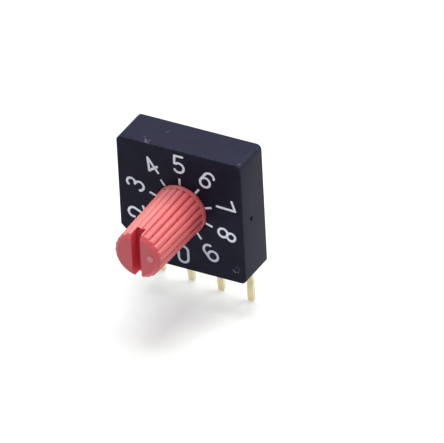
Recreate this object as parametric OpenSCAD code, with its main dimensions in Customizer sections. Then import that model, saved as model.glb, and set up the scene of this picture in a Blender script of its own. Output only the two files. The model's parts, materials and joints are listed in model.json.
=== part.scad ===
// Rotary coded switch: ten positions, four coded pins and a common pin, with a ribbed red
// knob that a finger or a small screwdriver turns. It stands on a board on its lower edge.
//
// +X is to the right of the dial, +Z is up from the board, and the knob points to -Y.
// The origin is the middle of the case's lower edge face, which seats on the board.

/* [Case] */
// Width and height of the square case
case_w = 10; // [9.4:0.1:14]
// Thickness of the front wall, which the shaft passes through
front_wall = 0.7; // [0.6:0.05:1.2]
// Thickness of the four side walls
side_wall = 0.55; // [0.35:0.05:0.7]
// Radius of the square corners
corner_r = 0.4; // [0.1:0.05:0.5]
// Radius of the corners inside the case
inner_r = 0.05; // [0.02:0.01:0.2]
// Leg of the keying chamfer on the lower left corner
key_chamfer = 2.5; // [1.5:0.1:2.8]
// Height of the shaft's axis above the middle of the case
axis_rise = 0.05; // [0:0.05:0.3]

/* [Knob] */
// Length of the knob in front of the case
knob_len = 6.65; // [3:0.05:12]
// Radius over the ribs where they meet the collar
knob_r = 1.96; // [1.7:0.01:1.98]
// How much the knob narrows towards its end, on the radius
knob_draft = 0.11; // [0:0.01:0.12]
// Number of ribs round the knob, even, so that a groove meets each end of the slot
rib_count = 22; // [14:4:30]
// Radius of each rounded rib
rib_r = 0.28; // [0.26:0.01:0.34]
// Bevel round the end of the knob
knob_bevel = 0.32; // [0.1:0.02:0.5]
// Length of the plain collar between the ribs and the case
collar_len = 0.3; // [0.1:0.01:1]
// Width of the screwdriver slot
slot_w = 0.7; // [0.4:0.05:1]
// Depth of the screwdriver slot
slot_depth = 1; // [0.5:0.1:2]
// Radius of the gate mark on the end of the knob
gate_r = 0.27; // [0.1:0.01:0.4]
// Height of the gate mark
gate_h = 0.05; // [0.02:0.01:0.1]
// Distance from the axis to the middle of the gate mark
gate_offset = 1.15; // [0.9:0.05:1.2]
// Height of the gate mark above the middle of the end face
gate_rise = 0.15; // [0:0.05:0.3]

/* [Rotor] */
// Radius of the shaft in the case
shaft_r = 2; // [1.98:0.01:2.2]
// Radius of the rotor's hub
hub_r = 3.1; // [2.95:0.05:3.5]
// Thickness of the rotor's hub
hub_t = 1.1; // [1.05:0.05:1.6]
// Radius of the pivot behind the hub
pivot_r = 0.36; // [0.2:0.02:0.4]
// Length of the pivot inside the base
pivot_len = 0.3; // [0.15:0.05:0.4]
// Radial clearance of the shaft and the pivot
running_gap = 0.04; // [0.02:0.01:0.08]
// Play of the hub between the case and the base
end_play = 0.05; // [0.02:0.01:0.1]

/* [Detent] */
// Number of positions of the switch
positions = 10; // [10]
// Radius of each detent ball
ball_r = 0.4; // [0.3:0.01:0.42]
// How far each ball stands out of the hub
ball_reach = 0.2; // [0.1:0.01:0.25]
// Clearance between a ball and the crests of the detent ring
ball_gap = 0.03; // [0.02:0.01:0.05]
// Depth of the notches in the detent ring
notch_depth = 0.15; // [0.1:0.01:0.2]
// Radius of the detent spring's coil, to the middle of its wire
coil_r = 0.27; // [0.2:0.01:0.3]
// Radius of the detent spring's wire
wire_r = 0.05; // [0.04:0.01:0.07]
// Number of turns of the detent spring
coil_turns = 12; // [6:1:14]

/* [Shaft seal] */
// Radius of the seal ring's cord
seal_cord_r = 0.17; // [0.12:0.01:0.2]
// Room round the seal ring in its groove
seal_gap = 0.04; // [0.02:0.01:0.08]

/* [Contacts] */
// Thickness of the contact brush
brush_t = 0.1; // [0.06:0.01:0.15]
// Height of the domed tips of the brush
tip_h = 0.13; // [0.08:0.01:0.14]
// Gap left under the domed tips
tip_gap = 0.02; // [0.01:0.01:0.05]
// Radius of the two pegs that hold the brush on the hub
peg_r = 0.2; // [0.1:0.01:0.22]
// Radius of the inner track, to its middle
first_track_r = 0.7; // [0.65:0.05:0.75]
// Distance between neighbouring tracks
track_pitch = 0.47; // [0.4:0.01:0.5]
// Width of each track
track_w = 0.3; // [0.2:0.02:0.34]
// Thickness of the contact pads, and of the ring under them
pad_t = 0.1; // [0.06:0.01:0.12]
// How far the ring under the pads stands out past their edges
ring_margin = 0.03; // [0.01:0.01:0.04]

/* [Base] */
// Thickness of the base that carries the contacts
base_t = 0.8; // [0.7:0.05:1.2]
// Thickness of the seal poured behind the base
pour_t = 0.22; // [0.12:0.02:0.5]
// Depth of the poured seal below the case's back rim
pour_recess = 0.08; // [0.02:0.02:0.2]
// Clearance of the base and the terminals in the case
fit_gap = 0.02; // [0.01:0.01:0.05]

/* [Terminals] */
// Distance between neighbouring pins
pin_pitch = 2.54; // [2:0.01:2.54]
// Width of each terminal
pin_w = 0.5; // [0.3:0.05:0.6]
// Thickness of each terminal
pin_t = 0.25; // [0.15:0.01:0.3]
// Length of the pins below the case
pin_len = 3.32; // [2.6:0.02:5]
// Height below the case at which the pins start to step back
step_start = 0.9; // [0.4:0.1:1]
// Height of the step in the pins
step_drop = 0.7; // [0.4:0.1:1]
// How far back the pins step, in the middle of the row
step_back = 0.45; // [0.2:0.05:0.8]
// How much less each pin steps back than its left neighbour
step_fan = 0.13; // [0:0.01:0.15]
// How far back the pins' tips lean, in the middle of the row
lean_back = 0.2; // [0:0.02:0.4]
// How much less each tip leans back than its left neighbour
lean_fan = 0.15; // [0:0.01:0.2]
// Radius of the strips' bends, at the middle of their thickness
bend_r = 0.25; // [0.16:0.01:0.3]
// Length of the bevel on the pins' tips
tip_bevel = 0.14; // [0.1:0.02:0.4]
// Width of the end of each tip, between its bevels
tip_w = 0.36; // [0.1:0.02:0.5]
// Distance of the common pin behind the row of coded pins
row_gap = 2.54; // [2:0.01:5.08]

/* [Dial] */
// Radius of the middle of the numbers
number_r = 3.81; // [3.6:0.01:3.9]
// Height of the numbers, to the middle of their strokes
number_h = 1.36; // [1:0.02:1.4]
// Width of the numbers, to the middle of their strokes
number_w = 0.78; // [0.5:0.02:0.9]
// Width of the printed strokes
stroke_w = 0.19; // [0.1:0.01:0.22]
// Outer radius of the dial's ticks
tick_r = 2.62; // [2.5:0.01:2.8]
// Width of the dial's ticks
tick_w = 0.17; // [0.08:0.01:0.2]
// Thickness of the print
print_t = 0.02; // [0.01:0.005:0.05]

/* [Hidden] */
$fn = 48;

case_colour = [0.13, 0.13, 0.17];
print_colour = [0.85, 0.86, 0.9];
knob_colour = [0.85, 0.3, 0.32];
rubber_colour = [0.1, 0.1, 0.1];
steel_colour = [0.7, 0.7, 0.72];
gold_colour = [0.83, 0.73, 0.48];
base_colour = [0.2, 0.24, 0.22];
pour_colour = [0.25, 0.2, 0.16];

// How far a cut runs past the face that it opens
past = 1;
// Angle between neighbouring positions of the switch
turn_step = 360 / positions;
// Height of the pad ring's foot above the terminals' strips
foot_h = 0.5 * pad_t;
// Each coded track's value, from the innermost outwards
track_values = [1, 2, 4, 8];
// Depth of the brush pegs' roots in the hub
peg_root = 0.6 * peg_r;
// Radius of the post between each track and its strip
post_r = 0.4 * track_w;
// How far each face of a tip slopes in towards the other
tip_in = pin_t / 6;
// Flat steps in each bend of a strip
bend_steps = 8;

// Levels along the shaft, measured from the middle of the case's thickness to the front
case_t = front_wall + end_play + hub_t + brush_t + tip_h + tip_gap + base_t + pour_t
    + pour_recess;
front_z = case_t / 2;
pocket_z = front_z - front_wall;
hub_z = pocket_z - end_play;
brush_z = hub_z - hub_t;
base_z = brush_z - brush_t - tip_h - tip_gap;
pour_z = base_z - base_t;
back_z = pour_z - pour_t;
ring_z = base_z - pad_t;
strip_z = ring_z - pad_t - foot_h;
strip_mid_z = strip_z - pin_t / 2;
ball_z = (hub_z + brush_z) / 2;
knob_z = front_z + knob_len;

// Radii round the shaft
bore_r = shaft_r + running_gap;
crest_r = hub_r + ball_reach + ball_gap;
notch_r = crest_r + notch_depth;
ball_track_r = hub_r + ball_reach - ball_r;
ball_hole_r = ball_r + fit_gap;
seal_mid_r = shaft_r + fit_gap + seal_cord_r;
groove_r = seal_mid_r + seal_cord_r + seal_gap;
groove_z = pocket_z + 2 * (seal_cord_r + seal_gap);

function track_r(i) = first_track_r + i * track_pitch;
function pin_x(i) = (i - 1.5) * pin_pitch;
function is_on(value, position) = floor(position / value) % 2 == 1;

// Stands a shape that is drawn flat, dial up, on the board with its dial to the front
module standing() {
    translate([0, 0, case_w / 2]) rotate([90, 0, 0]) children();
}

module on_axis() {
    translate([0, axis_rise, 0]) children();
}

// A flat shape from level z0 up to level z1
module slab(z0, z1) {
    translate([0, 0, z0]) linear_extrude(z1 - z0) children();
}

module disc(r, z0, z1) {
    translate([0, 0, z0]) cylinder(r = r, h = z1 - z0);
}

// A ring from radius r0 to r1, or the part of it that runs a given angle from a start
module ring(r0, r1, z0, z1, start = 0, angle = 360) {
    rotate(start) translate([0, 0, z0]) rotate_extrude(angle = angle)
        translate([r0, 0]) square([r1 - r0, z1 - z0]);
}

// ---- Case ----

// The case's outline, or one that lies inset inside it, with the keyed corner cut off
module case_outline(inset = 0) {
    side = case_w - 2 * inset;
    r = max(corner_r - inset, inner_r);
    cut = key_chamfer / sqrt(2) - inset * (sqrt(2) - 1);
    difference() {
        union() {
            square([side - 2 * r, side], center = true);
            square([side, side - 2 * r], center = true);
            for (sx = [-1, 1], sy = [-1, 1])
                translate([sx * (side / 2 - r), sy * (side / 2 - r)]) circle(r);
        }
        translate([-side / 2, -side / 2]) rotate(45) square(2 * cut, center = true);
    }
}

// The way that terminal i takes out through the case's lower wall, open to the back
module terminal_way(i, gap, z0, z1) {
    w = pin_w + 2 * gap;
    translate([pin_x(i) - w / 2, -case_w / 2 - past, z0])
        cube([w, case_w / 2 + past, z1 - z0]);
}

module detent_notches() {
    for (n = [0 : positions - 1])
        rotate(n * turn_step) translate([notch_r - ball_r, 0, 0])
            disc(ball_r, base_z - past, pocket_z);
}

module case() {
    color(case_colour) standing() difference() {
        slab(-front_z, front_z) case_outline();
        slab(-front_z - past, base_z) case_outline(side_wall);
        on_axis() {
            disc(crest_r, base_z - past, pocket_z);
            disc(groove_r, pocket_z - past, groove_z);
            disc(bore_r, 0, front_z + past);
            detent_notches();
        }
        for (i = [0 : 3])
            terminal_way(i, fit_gap, -front_z - past, strip_z + fit_gap);
        slab(front_z - print_t, front_z + past) dial_marks();
    }
}

// ---- Dial print ----

module stroke(a, b) {
    length = norm(b - a);
    translate(a) rotate(atan2(b[1] - a[1], b[0] - a[0])) {
        translate([0, -stroke_w / 2]) square([length, stroke_w]);
        circle(d = stroke_w);
        translate([length, 0]) circle(d = stroke_w);
    }
}

// A round stroke about a centre, from one angle anticlockwise to another
module bend(centre, r, from, to) {
    reach = 2 * (r + stroke_w);
    steps = ceil((to - from) / 60);
    wedge = [for (k = [0 : steps]) let (a = from + k * (to - from) / steps)
        reach * [cos(a), sin(a)]];
    translate(centre) {
        intersection() {
            difference() {
                circle(r + stroke_w / 2);
                circle(r - stroke_w / 2);
            }
            polygon(concat([[0, 0]], wedge));
        }
        for (a = [from, to]) translate(r * [cos(a), sin(a)]) circle(d = stroke_w);
    }
}

module loop(centre, r) {
    translate(centre) difference() {
        circle(r + stroke_w / 2);
        circle(r - stroke_w / 2);
    }
}

module number(n) {
    h = number_h / 2;
    w = number_w / 2;
    small_r = 0.47 * h;
    large_r = h - small_r;
    if (n == 0) {
        bend([0, h - w], w, 0, 180);
        bend([0, w - h], w, 180, 360);
        for (s = [-1, 1]) stroke([s * w, w - h], [s * w, h - w]);
    }
    if (n == 1) {
        stroke([0, -h], [0, h]);
        stroke([0, h], [-0.7 * w, 0.6 * h]);
    }
    if (n == 2) {
        bend([0, h - w], w, -30, 170);
        stroke([w * cos(30), h - w - w * sin(30)], [-w, -h]);
        stroke([-w, -h], [w, -h]);
    }
    if (n == 3) {
        bend([0, h - small_r], small_r, -90, 155);
        bend([0, large_r - h], large_r, -155, 90);
    }
    if (n == 4) {
        stroke([0.4 * w, -h], [0.4 * w, h]);
        stroke([0.4 * w, h], [-w, -0.35 * h]);
        stroke([-w, -0.35 * h], [w, -0.35 * h]);
    }
    if (n == 5) {
        stroke([-0.8 * w, h], [0.8 * w, h]);
        stroke([-0.8 * w, h], [-0.9 * w, 0.05 * h]);
        bend([0, w - h], w, -150, 130);
    }
    if (n == 6 || n == 9) rotate(n == 9 ? 180 : 0) {
        loop([0, w - h], w);
        bend([0, h - w], w, 30, 180);
        stroke([-w, w - h], [-w, h - w]);
    }
    if (n == 7) {
        stroke([-w, h], [w, h]);
        stroke([w, h], [-0.3 * w, -h]);
    }
    if (n == 8) {
        loop([0, h - small_r], small_r);
        loop([0, large_r - h], large_r);
    }
}

// Zero is at the bottom of the dial, and the numbers rise clockwise
module dial_marks() {
    on_axis() for (n = [0 : positions - 1]) rotate(180 - n * turn_step) {
        translate([0, number_r]) number(n);
        translate([-tick_w / 2, bore_r + fit_gap])
            square([tick_w, tick_r - bore_r - fit_gap]);
    }
}

// The print is stamped into the front face, flush with it
module dial_print() {
    color(print_colour) standing() slab(front_z - print_t, front_z) dial_marks();
}

// ---- Rotor ----

// The knob's ribs are round rods that lean in towards the end of the knob
module ribs() {
    length = knob_len - collar_len;
    lean = atan(knob_draft / length);
    foot_r = knob_r - rib_r;
    for (n = [0 : rib_count - 1])
        rotate((n + 0.5) * 360 / rib_count + 90) translate([foot_r, 0, knob_z - length])
            rotate([0, -lean, 0]) translate([0, 0, -collar_len / 2])
                cylinder(r = rib_r, h = length + collar_len);
    translate([0, 0, knob_z - length])
        cylinder(r1 = foot_r, r2 = foot_r - knob_draft, h = length);
}

// The space that the finished knob fills: a cone with its end bevelled
module knob_blank() {
    end_r = knob_r - knob_draft - knob_bevel;
    rotate_extrude() polygon([[0, front_z], [knob_r, front_z],
        [knob_r - knob_draft, knob_z - knob_bevel], [end_r, knob_z], [0, knob_z]]);
}

module rotor() {
    color(knob_colour) standing() on_axis() difference() {
        union() {
            intersection() {
                ribs();
                knob_blank();
            }
            disc(shaft_r, hub_z, front_z + collar_len);
            disc(hub_r, brush_z, hub_z);
            disc(pivot_r, base_z - pivot_len, brush_z);
            translate([gate_offset, gate_rise, 0]) disc(gate_r, knob_z - gate_h, knob_z + gate_h);
            brush_pegs(0);
        }
        translate([-slot_w / 2, -knob_r - past, knob_z - slot_depth])
            cube([slot_w, 2 * (knob_r + past), slot_depth + past]);
        translate([0, 0, ball_z]) rotate([0, 90, 0])
            cylinder(r = ball_hole_r, h = 2 * (hub_r + past), center = true);
    }
}

// The pegs behind the hub that hold the brush, each with its end spread
module brush_pegs(gap) {
    head_r = 1.5 * peg_r;
    head_t = 0.5 * brush_t;
    for (a = [-40, 40])
        rotate(a - 90) translate([track_r(3), 0, 0]) {
            disc(peg_r + gap, brush_z - brush_t, brush_z + peg_root);
            if (gap == 0) disc(head_r, brush_z - brush_t - head_t, brush_z - brush_t);
        }
}

module shaft_seal() {
    color(rubber_colour) standing() on_axis()
        translate([0, 0, (pocket_z + groove_z) / 2])
            rotate_extrude() translate([seal_mid_r, 0]) circle(seal_cord_r);
}

// ---- Detent ----

// Points of one ring of the wire, about the place that it has on the coil
function wire_ring(a, x, sides) = [for (k = [0 : sides - 1])
    let (b = k * 360 / sides, r = coil_r + wire_r * cos(b))
        [x + wire_r * sin(b), r * cos(a), r * sin(a)]];

module detent_spring() {
    sides = 6;
    rings_a_turn = 12;
    rings = coil_turns * rings_a_turn;
    length = 2 * (ball_track_r - ball_r - fit_gap) - 2 * wire_r;
    points = [for (i = [0 : rings])
        each wire_ring(i * 360 / rings_a_turn, (i / rings - 0.5) * length, sides)];
    walls = [for (i = [0 : rings - 1], k = [0 : sides - 1])
        let (a = i * sides, b = a + sides, next = (k + 1) % sides)
            [a + k, a + next, b + next, b + k]];
    first = [for (k = [0 : sides - 1]) sides - 1 - k];
    last = [for (k = [0 : sides - 1]) rings * sides + k];
    color(steel_colour) standing() on_axis() translate([0, 0, ball_z])
        polyhedron(points, concat(walls, [first, last]));
}

module detent_ball(side) {
    color(steel_colour) standing() on_axis()
        translate([side * ball_track_r, 0, ball_z]) sphere(ball_r);
}

module detent_ball_left() {
    detent_ball(-1);
}

module detent_ball_right() {
    detent_ball(1);
}

// ---- Contacts ----

// A thin spring plate with one curved finger over each track
module contact_brush() {
    tip_angle = 90;
    reach = 55;
    margin = 15;
    z0 = brush_z - brush_t;
    finger_w = 0.8 * track_w;
    plate_r = hub_r - brush_t;
    window_r = track_r(4) + track_w / 2 + brush_t;
    color(steel_colour) standing() on_axis() {
        difference() {
            disc(plate_r, z0, brush_z);
            disc(pivot_r + fit_gap, z0 - past, brush_z + past);
            ring(pivot_r + brush_t, window_r, z0 - past, brush_z + past,
                tip_angle - margin, reach + margin);
            brush_pegs(fit_gap);
        }
        for (i = [0 : 4]) {
            r = track_r(i);
            ring(r - finger_w / 2, r + finger_w / 2, z0, brush_z, tip_angle, reach + margin);
            rotate(tip_angle) translate([r, 0, 0]) dome(finger_w / 2, tip_h, z0);
        }
    }
}

// A tip that is a dome of radius r at its foot and h high, hanging down from level z
module dome(r, h, z) {
    round_r = (r * r + h * h) / (2 * h);
    intersection() {
        translate([0, 0, z - h + round_r]) sphere(round_r);
        disc(r, z - h, z);
    }
}

function heading(a, b) = atan2(b[1] - a[1], b[0] - a[0]);

// One bend at b on the way from a to c, as a list of [middle of the strip, heading]
function bend_at(a, b, c) = let (
        from = heading(a, b),
        turn = heading(b, c) - from,
        side = sign(turn),
        start = b - bend_r * tan(abs(turn) / 2) * [cos(from), sin(from)],
        centre = start + side * bend_r * [-sin(from), cos(from)])
    [for (k = [0 : bend_steps]) let (h = from + turn * k / bend_steps)
        [centre + side * bend_r * [sin(h), -cos(h)], h]];

// The way down the middle of a strip with two bends, to where its tip starts to narrow
function strip_way(a, b, c, d) = let (last = heading(c, d))
    concat([[a, heading(a, b)]], bend_at(a, b, c), bend_at(b, c, d),
        [[d - tip_bevel * [cos(last), sin(last)], last]]);

// One face of a strip, half its thickness to a side of the way down its middle
function face(way, half) = [for (s = way) s[0] + half * [-sin(s[1]), cos(s[1])]];

// The outline of a strip with two bends, in [distance back, height]
function strip_profile(a, b, c, d) = let (
        way = strip_way(a, b, c, d),
        back_face = face(way, pin_t / 2),
        front_face = face(way, -pin_t / 2),
        end = [pin_t / 2 - tip_in, 0])
    concat(back_face, [d + end, d - end],
        [for (i = [len(front_face) - 1 : -1 : 0]) front_face[i]]);

// The outline of the strip of pin i, which steps back and leans
function pin_profile(i) = let (
        out = i - 1.5,
        back = -strip_mid_z,
        stepped = back + step_back - step_fan * out,
        low = -case_w / 2)
    strip_profile([back, 0], [back, low - step_start],
        [stepped, low - step_start - step_drop],
        [stepped + lean_back - lean_fan * out, low - pin_len]);

// A strip that is bent to a profile of [distance back, height] points
module bent_strip(profile) {
    rotate([0, 90, 0]) linear_extrude(pin_w, center = true) polygon(profile);
}

// The strip seen from the front, with the corners of its tip cut off
module strip_front(top) {
    low = -case_w / 2 - pin_len;
    w = pin_w / 2;
    end_w = tip_w / 2;
    translate([0, 0, -case_w]) linear_extrude(2 * case_w) polygon([[-w, top], [w, top],
        [w, low + tip_bevel], [end_w, low], [-end_w, low], [-w, low + tip_bevel]]);
}

// Terminal i: its pads and ring, and a strip from the ring out to its pin.
// The strip leaves the ring at height `leave`, below the axis.
module terminal(i, value, leave) {
    track = search(value, track_values)[0] + 1;
    r = track_r(track);
    x = pin_x(i);
    side = sign(x);
    ring_x = side * min(abs(x), sqrt(r * r - leave * leave));
    top = axis_rise - leave + pin_w / 2;
    color(gold_colour) standing() {
        on_axis() {
            ring(r - track_w / 2 - ring_margin, r + track_w / 2 + ring_margin,
                ring_z - pad_t, ring_z);
            for (n = [0 : positions - 1]) if (is_on(value, n))
                ring(r - track_w / 2, r + track_w / 2, ring_z, base_z,
                    90 - (n + 0.45) * turn_step, 0.9 * turn_step);
        }
        translate([ring_x, axis_rise - leave, 0]) disc(post_r, strip_z, ring_z);
        intersection() {
            translate([x, 0, 0]) bent_strip(pin_profile(i));
            translate([x, 0, 0]) strip_front(top);
        }
        translate([min(ring_x, x) - pin_w / 2, top - pin_w, strip_z - pin_t])
            cube([abs(ring_x - x) + pin_w, pin_w, pin_t]);
    }
}

module terminal_8() {
    terminal(0, 8, 1.2 * pin_w);
}

module terminal_2() {
    terminal(1, 2, 2 * pin_w);
}

module terminal_1() {
    terminal(2, 1, 0.8 * pin_w);
}

module terminal_4() {
    terminal(3, 4, 1.2 * pin_w);
}

// The common terminal leaves through the back and turns down behind the row of pins
module terminal_common() {
    out_h = -case_w / 2 + side_wall + pin_w + pin_t / 2;
    back = -strip_mid_z;
    behind = back + step_back + row_gap;
    top = axis_rise - track_r(0) + track_w / 2;
    color(gold_colour) standing() {
        on_axis() {
            ring(track_r(0) - track_w / 2, track_r(0) + track_w / 2, ring_z, base_z);
            translate([0, -track_r(0), 0]) disc(post_r, strip_z, ring_z);
        }
        intersection() {
            bent_strip(strip_profile([back, top], [back, out_h], [behind, out_h],
                [behind, -case_w / 2 - pin_len]));
            strip_front(top);
        }
    }
}

module terminals() {
    terminal_8();
    terminal_2();
    terminal_1();
    terminal_4();
    terminal_common();
}

// ---- Base and back seal ----

// The base is moulded round the terminals, so their shapes are cut from it
module contact_base() {
    color(base_colour) difference() {
        standing() difference() {
            slab(pour_z, base_z) case_outline(side_wall + fit_gap);
            on_axis() disc(pivot_r + running_gap, base_z - pivot_len - end_play, base_z + past);
        }
        terminals();
    }
}

// The resin that fills the case behind the base, and the ways behind the terminals
module back_seal() {
    color(pour_colour) difference() {
        standing() {
            slab(back_z, pour_z) case_outline(side_wall + fit_gap);
            for (i = [0 : 3]) difference() {
                intersection() {
                    terminal_way(i, 0, back_z, strip_z - pin_t);
                    slab(back_z, strip_z - pin_t) case_outline(2 * fit_gap);
                }
                slab(pour_z, base_z) case_outline(side_wall + fit_gap);
            }
        }
        terminal_common();
    }
}

case();
dial_print();
rotor();
shaft_seal();
detent_spring();
detent_ball_left();
detent_ball_right();
contact_brush();
contact_base();
terminal_8();
terminal_2();
terminal_1();
terminal_4();
terminal_common();
back_seal();
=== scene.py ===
"""Looks of a rotary coded switch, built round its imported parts.

The switch stands on its lower edge: +X is to the right of the dial, +Z is up from the board,
and the knob points to -Y. Each sub-assembly is a class that builds its own meshes and dresses
them. Shapes are drawn flat, dial up, in millimetres, and are stood up when they are finished.
"""

from __future__ import annotations

import json
import logging
import math
from dataclasses import dataclass, field
from enum import Enum
from typing import Iterable, Sequence, Union

import bmesh
import bpy
from mathutils import Matrix, Vector


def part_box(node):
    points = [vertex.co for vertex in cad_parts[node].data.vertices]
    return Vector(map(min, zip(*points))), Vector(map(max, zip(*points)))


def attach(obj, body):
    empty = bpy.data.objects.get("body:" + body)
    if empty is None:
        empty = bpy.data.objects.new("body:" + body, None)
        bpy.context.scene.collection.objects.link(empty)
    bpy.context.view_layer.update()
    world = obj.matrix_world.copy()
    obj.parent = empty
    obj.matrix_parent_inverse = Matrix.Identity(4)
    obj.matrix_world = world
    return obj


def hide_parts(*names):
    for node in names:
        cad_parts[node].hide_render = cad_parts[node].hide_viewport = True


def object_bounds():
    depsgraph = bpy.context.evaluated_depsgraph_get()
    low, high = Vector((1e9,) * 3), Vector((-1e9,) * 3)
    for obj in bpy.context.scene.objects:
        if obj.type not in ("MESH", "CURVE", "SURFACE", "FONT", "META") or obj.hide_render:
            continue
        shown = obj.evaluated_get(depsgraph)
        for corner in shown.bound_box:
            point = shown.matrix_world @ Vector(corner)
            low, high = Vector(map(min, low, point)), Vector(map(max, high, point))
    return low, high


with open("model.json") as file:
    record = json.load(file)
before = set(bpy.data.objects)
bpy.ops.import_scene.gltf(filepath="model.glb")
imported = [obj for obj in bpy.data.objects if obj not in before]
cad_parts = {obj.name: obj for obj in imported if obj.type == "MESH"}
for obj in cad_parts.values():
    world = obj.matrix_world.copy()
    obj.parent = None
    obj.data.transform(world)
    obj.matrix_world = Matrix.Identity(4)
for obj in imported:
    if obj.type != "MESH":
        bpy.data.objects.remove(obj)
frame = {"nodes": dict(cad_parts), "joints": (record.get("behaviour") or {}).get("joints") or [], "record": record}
CAD_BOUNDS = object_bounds()

log = logging.getLogger("switch")

MM = 0.001
PAST = 1.0
MERGE = 0.0004
SLIVER = 0.0002
FLAT_DEG = 0.5
CORNER_STEPS = 10
WHITE = (1.0, 1.0, 1.0)
Point = tuple[float, float]
Place = tuple[float, float, float]
Colour = tuple[float, float, float]
Ring = Sequence[Sequence[float]]
Mesh = bpy.types.Mesh
Value = Union["Field", bpy.types.NodeSocket, float, Sequence[float]]


class Body(Enum):
    """The two rigid bodies of the switch."""

    HOUSING = "housing"
    ROTOR = "rotor_unit"


class Axis(Enum):
    """Axes of the flat drawing, as the turn about Y that brings +Z onto them."""

    X = math.pi / 2
    Z = 0.0


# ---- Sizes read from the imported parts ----


@dataclass(frozen=True)
class Levels:
    """Places along the shaft and across the dial, in the flat drawing, in millimetres."""

    case_w: float
    front: float
    back: float
    axis_rise: float
    knob_end: float
    gate_end: float
    pivot_end: float
    resin_back: float
    base_front: float
    base_back: float
    pin_low: float

    @classmethod
    def read(cls) -> "Levels":
        """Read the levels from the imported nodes.

        Returns:
            The levels of this switch.
        """
        case_low, case_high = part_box("case")
        rotor_low, rotor_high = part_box("rotor")
        base_low, base_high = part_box("contact_base")
        resin_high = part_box("back_seal")[1]
        case_w = (case_high.z - case_low.z) / MM
        axis = Vector(frame["joints"][0]["pos_m"])
        slot = next(m for m in frame["record"]["mounts"] if m["name"] == "driver_slot")
        return cls(
            case_w=case_w,
            front=-case_low.y / MM,
            back=-case_high.y / MM,
            axis_rise=axis.z / MM - case_w / 2,
            knob_end=-slot["pos_m"][1] / MM,
            gate_end=-rotor_low.y / MM,
            pivot_end=-rotor_high.y / MM,
            resin_back=-resin_high.y / MM,
            base_front=-base_low.y / MM,
            base_back=-base_high.y / MM,
            pin_low=CAD_BOUNDS[0][2] / MM,
        )

    @property
    def stand(self) -> Matrix:
        """The move from the flat drawing in millimetres to the standing switch in metres."""
        lift = Matrix.Translation((0.0, 0.0, self.case_w / 2 * MM))
        return lift @ Matrix.Rotation(math.pi / 2, 4, "X") @ Matrix.Scale(MM, 4)


# ---- Node trees ----


class Field:
    """A node socket that takes part in Python expressions."""

    def __init__(self, tree: "Tree", socket: bpy.types.NodeSocket):
        """Wrap a socket.

        Args:
            tree: The tree that the socket is in.
            socket: An output socket.
        """
        self.tree = tree
        self.socket = socket
        self.vector = socket.type in ("VECTOR", "RGBA")

    def _join(self, operation: str, first: Value, second: Value) -> "Field":
        """Add the node that works out one operation on values or on vectors.

        Args:
            operation: The operation, by the node's own name for it.
            first: Its first value.
            second: Its second value.

        Returns:
            The result.
        """
        vector = any(isinstance(v, Field) and v.vector for v in (first, second))
        kind = "ShaderNodeVectorMath" if vector else "ShaderNodeMath"
        pair = [self._spread(v) if vector else v for v in (first, second)]
        return self.tree.read(kind, {"operation": operation}, dict(enumerate(pair)))

    @staticmethod
    def _spread(value: Value) -> Value:
        """Give a plain number as a vector of three."""
        return (value, value, value) if isinstance(value, (int, float)) else value

    def __add__(self, other: Value) -> "Field":
        """Add."""
        return self._join("ADD", self, other)

    def __radd__(self, other: Value) -> "Field":
        """Add, reflected."""
        return self._join("ADD", other, self)

    def __sub__(self, other: Value) -> "Field":
        """Subtract."""
        return self._join("SUBTRACT", self, other)

    def __rsub__(self, other: Value) -> "Field":
        """Subtract, reflected."""
        return self._join("SUBTRACT", other, self)

    def __mul__(self, other: Value) -> "Field":
        """Multiply."""
        return self._join("MULTIPLY", self, other)

    def __rmul__(self, other: Value) -> "Field":
        """Multiply, reflected."""
        return self._join("MULTIPLY", other, self)

    def __truediv__(self, other: Value) -> "Field":
        """Divide."""
        return self._join("DIVIDE", self, other)

    def __rtruediv__(self, other: Value) -> "Field":
        """Divide, reflected."""
        return self._join("DIVIDE", other, self)

    def __mod__(self, other: Value) -> "Field":
        """Remainder that is never negative."""
        return self._join("FLOORED_MODULO", self, other)

    def __pow__(self, other: Value) -> "Field":
        """Raise to a power."""
        return self._join("POWER", self, other)

    def __gt__(self, other: Value) -> "Field":
        """One where greater, else zero."""
        return self._join("GREATER_THAN", self, other)

    def __lt__(self, other: Value) -> "Field":
        """One where less, else zero."""
        return self._join("LESS_THAN", self, other)

    def __neg__(self) -> "Field":
        """Change the sign."""
        return self * -1.0

    def __abs__(self) -> "Field":
        """Drop the sign."""
        return self.apply("ABSOLUTE")

    def apply(self, operation: str, *others: Value) -> "Field":
        """Add a Math node by the name of its operation, such as SINE."""
        sockets = dict(enumerate((self, *others)))
        return self.tree.read("ShaderNodeMath", {"operation": operation}, sockets)

    def clamp(self) -> "Field":
        """Keep between zero and one."""
        return self.apply("MINIMUM", 1.0).apply("MAXIMUM", 0.0)

    def dot(self, other: Value) -> "Field":
        """Give the dot product with another vector."""
        settings = {"operation": "DOT_PRODUCT"}
        return self.tree.read("ShaderNodeVectorMath", settings, {0: self, 1: other}, "Value")

    def length(self) -> "Field":
        """Give the length of a vector."""
        settings = {"operation": "LENGTH"}
        return self.tree.read("ShaderNodeVectorMath", settings, {0: self}, "Value")

    def step(self, low: float, high: float) -> "Field":
        """Rise smoothly from zero at low to one at high.

        Args:
            low: Where the rise starts.
            high: Where it ends. It may lie below low, for a fall.

        Returns:
            The smooth step.
        """
        sockets = {"Value": self, "From Min": low, "From Max": high}
        settings = {"interpolation_type": "SMOOTHSTEP"}
        return self.tree.read("ShaderNodeMapRange", settings, sockets, "Result")

    def parts(self) -> tuple["Field", "Field", "Field"]:
        """Split a vector into its X, Y and Z."""
        node = self.tree.add("ShaderNodeSeparateXYZ", {}, {0: self})
        return tuple(Field(self.tree, out) for out in node.outputs)


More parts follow.
